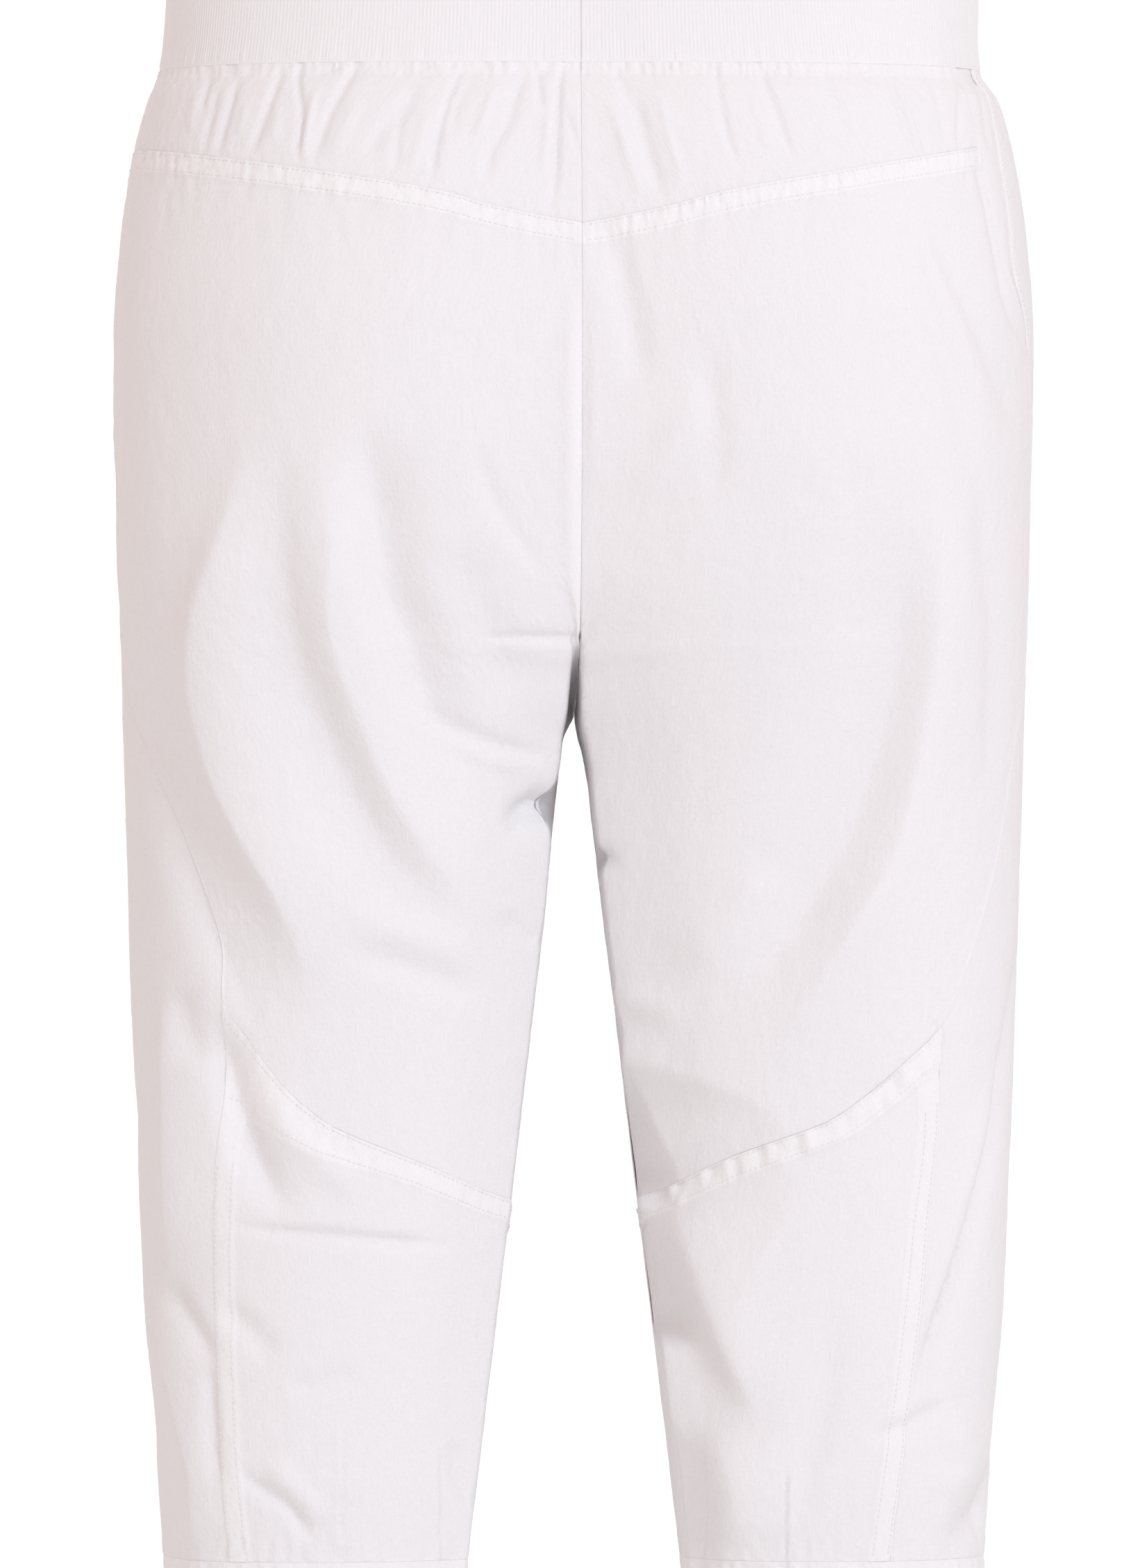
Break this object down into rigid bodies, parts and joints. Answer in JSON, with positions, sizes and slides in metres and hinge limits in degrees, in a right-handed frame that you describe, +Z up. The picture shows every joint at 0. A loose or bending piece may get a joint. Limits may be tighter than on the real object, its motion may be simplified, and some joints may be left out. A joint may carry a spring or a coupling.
{
  "type": "capri pants",
  "caption": "Pull-on capri pants filled out as worn, with a wide rib waistband, gathered back yoke, curved leg seams, side pockets and banded hems.",
  "frame": {"origin": "middle of the waist opening, level with the waistband's top edge", "axes": "+Z up along the body, front of the garment towards -Y, the wearer's left towards +X"},
  "size_m": [0.4918, 0.2988, 0.871],
  "materials": {
    "crinkled_cotton": "matt white crinkled plain weave",
    "rib_knit": "matt white rib knit"
  },
  "bodies": {
    "root": {"waistband": "rib_knit", "yoke_back_left": "crinkled_cotton", "yoke_back_right": "crinkled_cotton", "back_upper_left": "crinkled_cotton", "back_upper_right": "crinkled_cotton", "back_lower_left": "crinkled_cotton", "back_lower_right": "crinkled_cotton", "front_left": "crinkled_cotton", "front_right": "crinkled_cotton", "pocket_left": "crinkled_cotton", "pocket_right": "crinkled_cotton", "hem_band_left": "crinkled_cotton", "hem_band_right": "crinkled_cotton"}
  },
  "joints": []
}
